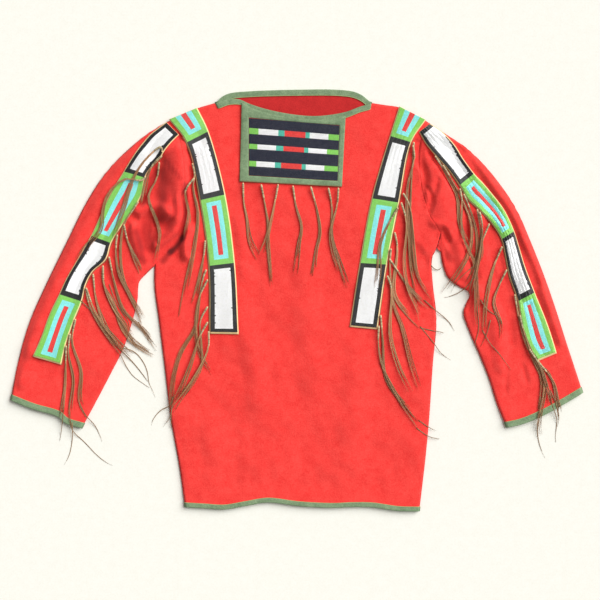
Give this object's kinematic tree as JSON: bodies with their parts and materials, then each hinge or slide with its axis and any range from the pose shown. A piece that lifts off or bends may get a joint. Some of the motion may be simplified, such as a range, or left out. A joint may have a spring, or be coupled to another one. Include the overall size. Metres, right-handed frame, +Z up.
{
  "type": "plains war shirt",
  "caption": "Red wool war shirt laid flat, with beaded strips, a beaded bib, taped edges and hair locks",
  "frame": {"origin": "middle of the shirt as it lies, on the surface under it", "axes": "+X across the shirt to the picture's right, +Y from the hem up to the neck, +Z up, out of its front"},
  "size_m": [1.0887, 0.8036, 0.0254],
  "materials": {
    "wool": "napped red wool",
    "tape": "sage ribbed tape",
    "hide": "smoked hide, matte",
    "beads": "glass beads in lanes",
    "hair": "brown hair, wrapped roots"
  },
  "bodies": {
    "root": {"front_panel": "wool", "back_panel": "wool", "sleeve_left": "wool", "sleeve_right": "wool", "hem_binding_front": "tape", "hem_binding_back": "tape", "neck_binding_front": "tape", "neck_binding_back": "tape", "cuff_binding_left": "tape", "cuff_binding_right": "tape", "bib_backing": "wool", "bib_beadwork": "beads", "bib_binding": "tape", "strip_body_left_hide": "hide", "strip_body_left_beads": "beads", "strip_body_right_hide": "hide", "strip_body_right_beads": "beads", "strip_sleeve_left_hide": "hide", "strip_sleeve_left_beads": "beads", "strip_sleeve_right_hide": "hide", "strip_sleeve_right_beads": "beads", "locks_bib": "hair", "locks_body_left": "hair", "locks_body_right": "hair", "locks_sleeve_left": "hair", "locks_sleeve_right": "hair"}
  },
  "joints": []
}
